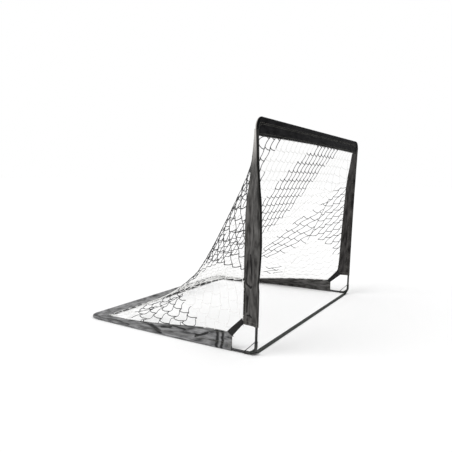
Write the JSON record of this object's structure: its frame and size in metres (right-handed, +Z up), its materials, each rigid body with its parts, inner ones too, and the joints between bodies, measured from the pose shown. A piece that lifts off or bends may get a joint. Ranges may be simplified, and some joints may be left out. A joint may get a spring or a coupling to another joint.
{
  "type": "folding hockey goal",
  "caption": "Free-standing folding street hockey goal: pole frame in fabric bands, mouth frame on flexible corner elbows, two-colour net sloping to the rear.",
  "frame": {"origin": "on the ground, at the centre of the goal's footprint", "axes": "+Z up, X across the mouth and -Y towards the player, out of the mouth"},
  "size_m": [1.829, 1.2198, 1.2198],
  "materials": {
    "pole_gloss": "glossy black",
    "elbow_rubber": "matt black",
    "band_cloth": "woven, slightly shiny",
    "webbing": "ribbed webbing",
    "elbow_cord": "braided",
    "net_twine": "braided twine, in black and white groups",
    "ferrule_metal": "plain"
  },
  "bodies": {
    "base_frame": {"base_pole_left": "pole_gloss", "base_pole_right": "pole_gloss", "rear_corner_left": "pole_gloss", "rear_corner_right": "pole_gloss", "rear_pole_left": "pole_gloss", "rear_pole_right": "pole_gloss", "rear_ferrule": "ferrule_metal", "elbow_left": "elbow_rubber", "elbow_right": "elbow_rubber", "elbow_cord_left": "elbow_cord", "elbow_cord_right": "elbow_cord", "base_sleeve_left": "band_cloth", "base_sleeve_right": "band_cloth", "rear_sleeve": "band_cloth", "corner_webbing_left": "webbing", "corner_webbing_right": "webbing", "front_strap": "webbing", "net": "net_twine"},
    "front_frame": {"post_pole_left": "pole_gloss", "post_pole_right": "pole_gloss", "top_corner_left": "pole_gloss", "top_corner_right": "pole_gloss", "crossbar_pole_left": "pole_gloss", "crossbar_pole_right": "pole_gloss", "crossbar_ferrule": "ferrule_metal", "post_sleeve_left": "band_cloth", "post_sleeve_right": "band_cloth", "crossbar_sleeve": "band_cloth"}
  },
  "joints": [
    {"name": "fold", "type": "hinge", "parent": "base_frame", "child": "front_frame", "pos_m": [0, -0.5811, 0.0289], "axis": [-1, 0, 0], "range_deg": [0, 90], "stiffness_Nm_per_rad": 6, "springref_deg": -57.3, "deforming": ["net", "elbow_left", "elbow_right", "elbow_cord_left", "elbow_cord_right", "corner_webbing_left", "corner_webbing_right", "post_sleeve_left", "post_sleeve_right", "base_sleeve_left", "base_sleeve_right"]}
  ]
}
